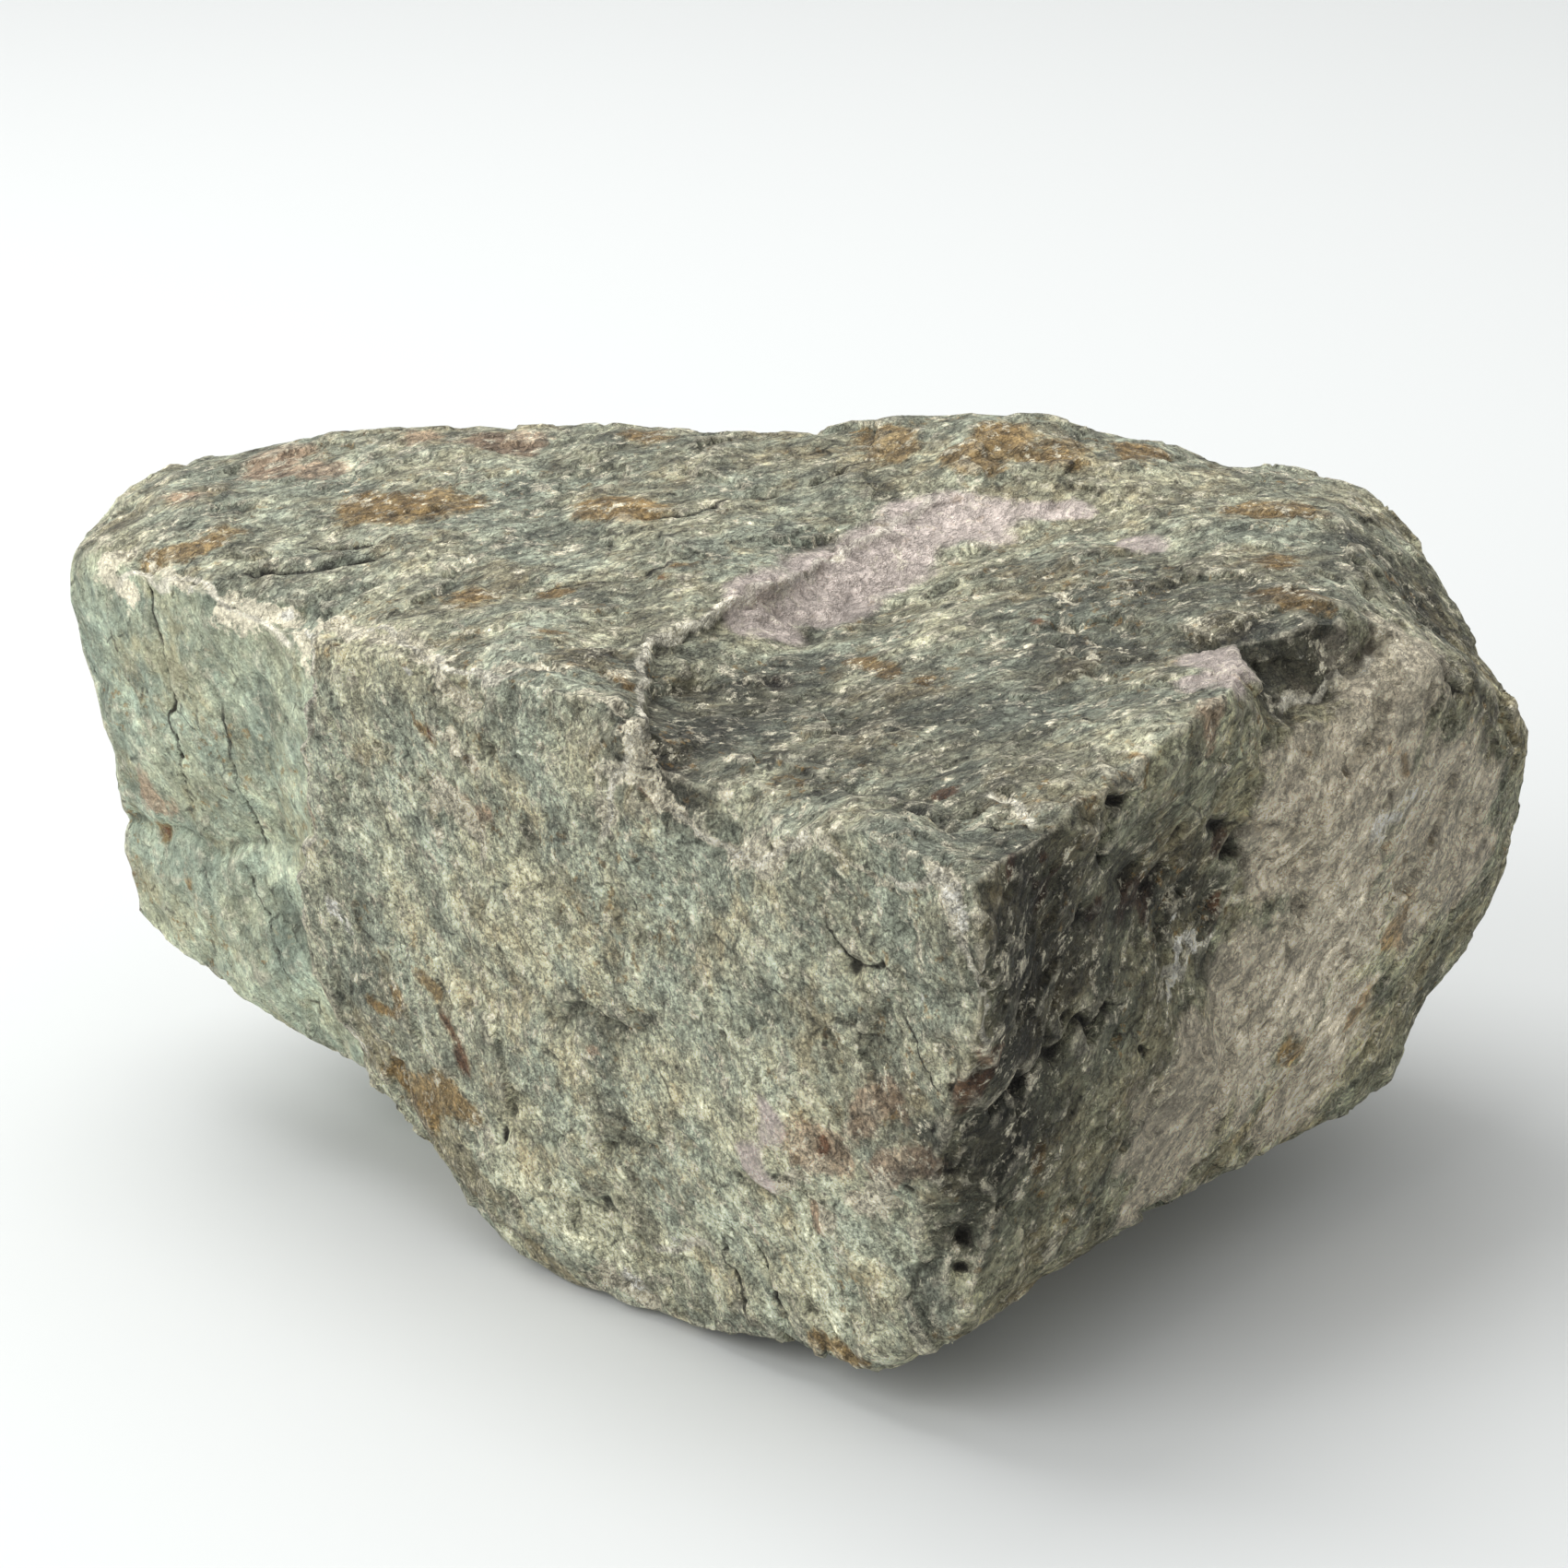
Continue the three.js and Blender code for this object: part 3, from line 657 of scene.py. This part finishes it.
def makeBreakageNodes():
    tree, place, normal, geometry = startTree("breakage")
    look = rockShape
    rightFace = attributeNode(tree, "rightFace")
    frontFace = attributeNode(tree, "frontFace")

    around = blurredPlace(tree, place, look["edgeBlur"])
    proud = vectorCalc(tree, "DOT_PRODUCT", vectorCalc(tree, "SUBTRACT", place, around), normal)
    proud = calc(tree, "MULTIPLY", proud, look["edgeSharpness"])

    lump = noise(tree, place, look["lumpSize"], 3, 0.5)
    height = calc(tree, "MULTIPLY_ADD", lump, 2 * look["lumpHeight"], -look["lumpHeight"])

    chipped = between(tree, noise(tree, place, 0.05, 2, shift=0.3), 0.35, 0.6, 0.45, 1.0)
    warped = chipPlace(tree, place)
    chips = calc(
        tree, "ADD",
        chipHeight(tree, warped, look["chipSize"], look["chipSlope"]),
        chipHeight(tree, warped, look["smallChipSize"], look["smallChipSlope"]),
    )
    height = calc(tree, "MULTIPLY_ADD", chips, chipped, height)

    across = vectorCalc(tree, "DOT_PRODUCT", place, foliation["across"])
    sway = noise(tree, place, 0.045, 3, 0.55, shift=1.1)
    level = calc(tree, "MULTIPLY_ADD", sway, 0.02, across)
    step = calc(tree, "FRACT", calc(tree, "MULTIPLY", level, 1 / look["ledgeSpacing"]))
    step = calc(tree, "SUBTRACT", between(tree, step, 0.0, 0.82), between(tree, step, 0.82, 1.0))
    ledgy = between(tree, noise(tree, place, 0.03, 2, shift=2.3), 0.42, 0.62)
    ledge = calc(tree, "MULTIPLY", step, ledgy)
    ledge = calc(tree, "MULTIPLY", ledge, between(tree, frontFace, 0, 1, look["ledgeHeight"], 0))
    height = calc(tree, "ADD", height, ledge)

    streaky = noise(tree, drawnOut(tree, place, 0.5, 0.22), look["grainSize"], 5, 0.62, shift=3.1)
    even = noise(tree, place, look["grainSize"], 5, 0.62, shift=3.9)
    fine = blend(tree, frontFace, streaky, even)
    fine = calc(tree, "MULTIPLY_ADD", fine, 2 * look["grainHeight"], -look["grainHeight"])
    height = calc(tree, "MULTIPLY_ADD", fine, calc(tree, "ADD", rightFace, 1.0), height)

    bruised = calc(tree, "ADD", between(tree, proud, 0.5 * mm, 2.5 * mm), attributeNode(tree, "bruise"))
    gone = between(tree, noise(tree, place, look["crumbleSize"], 5, 0.65, shift=15.2), 0.45, 0.57)
    gone = calc(tree, "MULTIPLY", between(tree, bruised, 0, 1, kind="LINEAR"), gone)
    height = calc(tree, "MULTIPLY_ADD", gone, -look["crumbleDepth"], height)

    holes = noise(tree, drawnOut(tree, place, 0.5, 0.3), look["pitSize"], 3, 0.5, shift=4.7)
    holes = calc(tree, "MULTIPLY", between(tree, holes, 0.41, 0.29), rightFace)
    height = calc(tree, "MULTIPLY_ADD", holes, -look["pitDepth"], height)

    calm = calc(tree, "MULTIPLY_ADD", attributeNode(tree, "leftEnd"), -0.5, 1.0)
    height = calc(tree, "MULTIPLY_ADD", height, calm, proud)
    height = calc(tree, "SUBTRACT", height, attributeNode(tree, "carve"))
    height = calc(tree, "MULTIPLY", height, between(tree, split(tree, place)["Z"], 0.5 * mm, 8 * mm))

    shift = scaled(tree, normal, height)
    move = addNode(tree, "GeometryNodeSetPosition", {"Geometry": geometry, "Offset": shift})
    end = tree.nodes.new("NodeGroupOutput")
    tree.links.new(move.outputs["Geometry"], end.inputs[0])
    return tree


# keeps how far each corner stands out of, or lies below, the surface around it
def makeEdgeNodes():
    tree, place, normal, geometry = startTree("edges")
    rise = vectorCalc(tree, "SUBTRACT", place, blurredPlace(tree, place, rockShape["ridgeBlur"]))
    store = addNode(
        tree, "GeometryNodeStoreNamedAttribute",
        {"Geometry": geometry, "Name": "ridge", "Value": vectorCalc(tree, "DOT_PRODUCT", rise, normal)},
        data_type="FLOAT", domain="POINT",
    )
    end = tree.nodes.new("NodeGroupOutput")
    tree.links.new(store.outputs["Geometry"], end.inputs[0])
    return tree


def applyNodes(piece, tree):
    bpy.context.view_layer.objects.active = piece
    modifier = piece.modifiers.new(tree.name, "NODES")
    modifier.node_group = tree
    bpy.ops.object.modifier_apply(modifier=modifier.name)


# brings the finished mesh just inside the box of its solid, with its base still on the floor
def fitInside(piece):
    places = np.clip(coordinatesOf(piece.data), np.array(cadLow), np.array(cadHigh))
    piece.data.vertices.foreach_set("co", places.astype(np.float32).ravel())
    piece.data.update()


def countTriangles(mesh):
    return sum(len(face.vertices) - 2 for face in mesh.polygons)


def makeRock():
    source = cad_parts["rock"]
    rock = bpy.data.objects.new("roughRock", source.data.copy())
    bpy.context.collection.objects.link(rock)
    bpy.ops.object.select_all(action="DESELECT")
    rock.select_set(True)
    bpy.context.view_layer.objects.active = rock
    bpy.ops.object.mode_set(mode="EDIT")
    bpy.ops.mesh.select_all(action="SELECT")
    bpy.ops.mesh.customdata_custom_splitnormals_clear()
    bpy.ops.mesh.remove_doubles(threshold=0.01 * mm)
    bpy.ops.mesh.normals_make_consistent(inside=False)
    bpy.ops.object.mode_set(mode="OBJECT")
    rock.data.materials.clear()

    finer = rock.modifiers.new("finer", "SUBSURF")
    finer.subdivision_type = "SIMPLE"
    finer.levels = rockShape["fineness"]
    finer.render_levels = rockShape["fineness"]
    bpy.ops.object.modifier_apply(modifier=finer.name)
    soften = rock.modifiers.new("soften", "SMOOTH")
    soften.factor = 0.5
    soften.iterations = rockShape["facetSoftening"]
    bpy.ops.object.modifier_apply(modifier=soften.name)
    print("rock refined:", len(rock.data.vertices), "corners")

    markSurface(rock.data)
    applyNodes(rock, makeBreakageNodes())
    fewer = rock.modifiers.new("fewer", "DECIMATE")
    fewer.ratio = rockShape["trianglesKept"] / countTriangles(rock.data)
    bpy.ops.object.modifier_apply(modifier=fewer.name)
    applyNodes(rock, makeEdgeNodes())
    fitInside(rock)
    bpy.ops.object.shade_smooth()
    print("rock broken and roughened:", countTriangles(rock.data), "triangles")
    return rock


stoneTones = {
    "cool": (0.400, 0.435, 0.335, 1),
    "warm": (0.535, 0.508, 0.345, 1),
    "earth": (0.50, 0.39, 0.21, 1),
    "deep": (0.070, 0.076, 0.058, 1),
    "cream": (0.97, 0.90, 0.69, 1),
    "pink": (0.86, 0.74, 0.67, 1),
    "ochre": (0.37, 0.215, 0.058, 1),
    "salmon": (0.62, 0.41, 0.27, 1),
    "rust": (0.20, 0.080, 0.032, 1),
    "rim": (0.47, 0.40, 0.24, 1),
    "edge": (0.98, 0.93, 0.76, 1),
    "white": (0.98, 0.96, 0.85, 1),
    "pale": (0.95, 0.84, 0.64, 1),
    "darkAndPaintedShade": (0.060, 0.062, 0.050, 1),
    "crack": (0.030, 0.027, 0.020, 1),
    "rightTint": (1.0, 0.95, 0.85, 1),
    "leftTint": (0.88, 0.96, 0.97, 1),
}

# how strongly each stain and the painted shade in the dark layer cover the stone, and how ragged its rim is
stainAndShadeCover = {
    "pale": (0.8, 1.8), "rim": (0.7, 1.8), "pink": (0.94, 0.8), "salmon": (0.65, 1.8),
    "ochre": (0.75, 1.7), "rust": (0.85, 1.5), "darkAndPaintedShade": (0.5, 1.8),
}


def mixColour(tree, share, under, over, kind="MIX"):
    new = tree.nodes.new("ShaderNodeMix")
    new.data_type = "RGBA"
    new.blend_type = kind
    new.clamp_factor = True
    for socket, value in ((new.inputs["Factor"], share), (new.inputs[6], under), (new.inputs[7], over)):
        if isinstance(value, bpy.types.NodeSocket):
            tree.links.new(value, socket)
        else:
            socket.default_value = value
    return new.outputs[2]


def layer(tree, name):
    return addNode(tree, "ShaderNodeAttribute", {}, attribute_name=name).outputs["Fac"]


def brighten(tree, colour, factor):
    inputs = {"Red": factor, "Green": factor, "Blue": factor}
    grey = addNode(tree, "ShaderNodeCombineColor", inputs).outputs["Color"]
    return mixColour(tree, 1.0, colour, grey, "MULTIPLY")


# the layer with noise added to it, so that a threshold gives it a ragged rim
def raggedLayer(tree, name, ragged, amount):
    return calc(tree, "ADD", layer(tree, name), calc(tree, "MULTIPLY_ADD", ragged, amount, -amount / 2))


# 1 on the thin lines that the two attributes describe; widths in millimetres
def thinLine(tree, name, width, ragged, stray):
    wander = calc(tree, "MULTIPLY_ADD", ragged, stray, -stray / 2)
    side = calc(tree, "ADD", layer(tree, name + "Side"), wander)
    line = between(tree, calc(tree, "ABSOLUTE", side), width, width * 0.35)
    return calc(tree, "MULTIPLY", line, between(tree, layer(tree, name + "Near"), 0.35, 0.7))


def makeStoneMaterial():
    stone = bpy.data.materials.new("greenStone")
    stone.use_nodes = True
    tree = stone.node_tree
    shader = tree.nodes["Principled BSDF"]
    place = tree.nodes.new("ShaderNodeTexCoord").outputs["Object"]
    tones = stoneTones
    rightFace = layer(tree, "rightFace")
    frontFace = layer(tree, "frontFace")
    leftEnd = layer(tree, "leftEnd")
    half = drawnOut(tree, place, 0.64, 0.55)
    long = drawnOut(tree, place, 0.34, 0.24)

    # broad drift from cool to warm stone, with darker and lighter regions
    drift = noise(tree, half, 0.020, 7, 0.75, shift=5.1)
    colour = mixColour(tree, between(tree, drift, 0.38, 0.66), tones["cool"], tones["warm"])
    broad = noise(tree, half, 0.012, 5, 0.7, shift=5.9)
    colour = brighten(tree, colour, between(tree, broad, 0.33, 0.67, 0.62, 1.36))
    earthy = between(tree, noise(tree, half, 0.016, 6, 0.7, shift=16.4), 0.52, 0.64, 0, 0.45)
    colour = mixColour(tree, earthy, colour, tones["earth"])
    colour = brighten(tree, colour, calc(tree, "MULTIPLY_ADD", frontFace, 0.40, 1.0))
    colour = brighten(tree, colour, calc(tree, "MULTIPLY_ADD", leftEnd, 0.26, 1.0))
    for share, tint in ((rightFace, "rightTint"), (leftEnd, "leftTint")):
        colour = mixColour(tree, share, colour, tones[tint], "MULTIPLY")

    # each broken chip has a tone of its own
    broken = chipPlace(tree, place)
    for size, spread in ((rockShape["chipSize"], 0.14), (rockShape["smallChipSize"], 0.18)):
        chip = addNode(
            tree, "ShaderNodeTexVoronoi", {"Vector": scaled(tree, broken, 1 / size), "Scale": 1.0}
        )
        chipTone = split(tree, chip.outputs["Color"])["Y"]
        colour = brighten(tree, colour, between(tree, chipTone, 0, 1, 1 - spread, 1 + spread, "LINEAR"))

    # stains, and painted shade in the dark layer, with ragged edges, thin enough for the stone to show
    # through
    ragged = noise(tree, half, 0.007, 7, 0.78, shift=11.3)
    for name, (cover, raggedness) in stainAndShadeCover.items():
        share = between(tree, raggedLayer(tree, name, ragged, raggedness), 0.20, 0.55, 0, cover)
        colour = mixColour(tree, share, colour, tones[name])

    # painted shade and painted light by place, with the stone's own tone
    colour = brighten(tree, colour, layer(tree, "toneWithPaintedLight"))

    # bruised edges and painted highlight on raised edges, painted shade in hollows, chalk, flecks and rusty
    # specks
    ridge = calc(tree, "ADD", layer(tree, "ridge"), calc(tree, "MULTIPLY_ADD", ragged, 1.2 * mm, -0.6 * mm))
    # raised edges painted lighter: bruising and painted highlight
    colour = mixColour(tree, between(tree, ridge, 0.25 * mm, 0.9 * mm, 0, 0.4), colour, tones["cream"])
    # hollows painted darker: painted shade
    colour = mixColour(tree, between(tree, ridge, -0.3 * mm, -1.0 * mm, 0, 0.5), colour, tones["crack"])
    fleck = noise(tree, half, 0.0024, 5, 0.75, shift=7.7)
    bruise = calc(tree, "MULTIPLY_ADD", fleck, 1.2, raggedLayer(tree, "bruise", ragged, 1.8))
    colour = mixColour(tree, between(tree, bruise, 1.00, 1.20, 0, 0.92), colour, tones["cream"])
    chalk = calc(tree, "MULTIPLY_ADD", fleck, 1.2, raggedLayer(tree, "white", ragged, 1.8))
    paleLine = thinLine(tree, "paleLine", 1.5, ragged, 5.0)
    colour = mixColour(tree, calc(tree, "MULTIPLY", paleLine, 0.9), colour, tones["edge"])
    colour = mixColour(tree, between(tree, chalk, 1.05, 1.25, 0, 0.9), colour, tones["white"])
    cluster = noise(tree, place, 0.010, 6, 0.7, shift=8.6)
    paleFleck = calc(tree, "MULTIPLY_ADD", cluster, 0.5, fleck)
    calm = calc(tree, "MULTIPLY", leftEnd, 0.62)
    paleFleck = blend(tree, calm, between(tree, paleFleck, 0.80, 0.90, 0, 0.85), 0.0)
    colour = mixColour(tree, paleFleck, colour, tones["cream"])
    colour = mixColour(tree, between(tree, fleck, 0.40, 0.32, 0, 0.7), colour, tones["deep"])
    speck = noise(tree, place, 0.003, 4, 0.65, shift=9.4)
    speckArea = between(tree, noise(tree, place, 0.03, 4, 0.6, shift=10.2), 0.48, 0.60)
    specks = calc(tree, "MULTIPLY", between(tree, speck, 0.57, 0.66, 0, 0.6), speckArea)
    colour = mixColour(tree, specks, colour, tones["ochre"])
    # cracks painted dark, with painted shade in pits and under ledges
    crack = raggedLayer(tree, "crack", ragged, 0.5)
    colour = mixColour(tree, between(tree, crack, 0.25, 0.7, 0, 0.9), colour, tones["crack"])
    darkLine = thinLine(tree, "darkLine", 0.5, ragged, 4.0)
    darkLine = calc(tree, "MULTIPLY", darkLine, between(tree, cluster, 0.40, 0.52, 0.25, 0.85))
    colour = mixColour(tree, darkLine, colour, tones["crack"])
    inputs = {"Vector": scaled(tree, broken, 1 / rockShape["smallChipSize"]), "Scale": 1.0}
    seams = addNode(tree, "ShaderNodeTexVoronoi", inputs, feature="DISTANCE_TO_EDGE").outputs["Distance"]
    seams = calc(tree, "MULTIPLY", between(tree, seams, 0.06, 0.01), between(tree, cluster, 0.45, 0.40))
    colour = mixColour(tree, calc(tree, "MULTIPLY", seams, 0.6), colour, tones["crack"])

    # fine relief; its hollows are darker and its tips lighter, as painted shade and painted light
    drawnRough = noise(tree, half, 0.0044, 6, 0.76, 6.2)
    evenRough = noise(tree, place, 0.0044, 6, 0.76, 6.4)
    rough = blend(tree, frontFace, drawnRough, evenRough)
    drawnStreak = noise(tree, long, 0.0016, 4, 0.7, 6.9)
    evenStreak = noise(tree, place, 0.0011, 4, 0.7, 7.1)
    streak = blend(tree, frontFace, drawnStreak, evenStreak)
    crease = noise(tree, half, 0.0030, 4, 0.7, shift=13.1)
    crease = calc(tree, "ABSOLUTE", calc(tree, "SUBTRACT", crease, 0.5))
    for value, low, high, darkest, lightest in (
        (rough, 0.27, 0.73, 0.48, 1.56), (streak, 0.27, 0.73, 0.54, 1.50), (crease, 0.0, 0.05, 0.55, 1.08)
    ):
        factor = blend(tree, calm, between(tree, value, low, high, darkest, lightest), 1.0)
        colour = brighten(tree, colour, factor)
    crystalPlace = ruffled(tree, drawnOut(tree, place, 0.85, 0.6), 0.0014, 0.0007)
    crystals = addNode(
        tree, "ShaderNodeTexVoronoi", {"Vector": scaled(tree, crystalPlace, 1 / 0.00055), "Scale": 1.0}
    )
    crystalTone = split(tree, crystals.outputs["Color"])
    colour = brighten(tree, colour, between(tree, crystalTone["X"], 0.0, 1.0, 0.78, 1.22, "LINEAR"))
    colour = brighten(tree, colour, 0.95)
    for name, cover in (("pink", 0.45), ("pale", 0.18)):
        wash = between(tree, raggedLayer(tree, name, ragged, stainAndShadeCover[name][1]), 0.2, 0.5, 0, cover)
        colour = mixColour(tree, wash, colour, tones[name])
    tree.links.new(colour, shader.inputs["Base Color"])
    tree.links.new(between(tree, crystalTone["Y"], 0.8, 0.95, 0.82, 0.42), shader.inputs["Roughness"])
    shader.inputs["Specular IOR Level"].default_value = 0.45

    # the same fine relief as a surface, in metres
    relief = calc(tree, "MULTIPLY", rough, 7.0 * mm)
    relief = calc(tree, "MULTIPLY_ADD", streak, 2.4 * mm, relief)
    relief = calc(tree, "MULTIPLY_ADD", between(tree, crease, 0.0, 0.06), 0.7 * mm, relief)
    relief = calc(tree, "MULTIPLY_ADD", seams, -0.6 * mm, relief)
    relief = calc(tree, "MULTIPLY_ADD", darkLine, -1.0 * mm, relief)
    flakes = drawnOut(tree, ruffled(tree, place, 0.004, 0.003), 0.8, 0.55)
    relief = calc(tree, "ADD", relief, chipHeight(tree, flakes, 0.0046, 0.50))
    relief = calc(tree, "ADD", relief, chipHeight(tree, crystalPlace, 0.0010, 0.75))
    relief = calc(tree, "MULTIPLY", relief, calc(tree, "MULTIPLY_ADD", rightFace, 0.5, 1.0))
    relief = calc(tree, "MULTIPLY", relief, calc(tree, "MULTIPLY_ADD", leftEnd, -0.55, 1.0))
    bump = addNode(tree, "ShaderNodeBump", {"Height": relief, "Strength": 1.0, "Distance": 1.0})
    tree.links.new(bump.outputs["Normal"], shader.inputs["Normal"])
    print("stone material ready")
    return stone


addCamera()
addStudio()
rock = makeRock()
rock.data.materials.append(makeStoneMaterial())
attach(rock, "root")
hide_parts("rock")
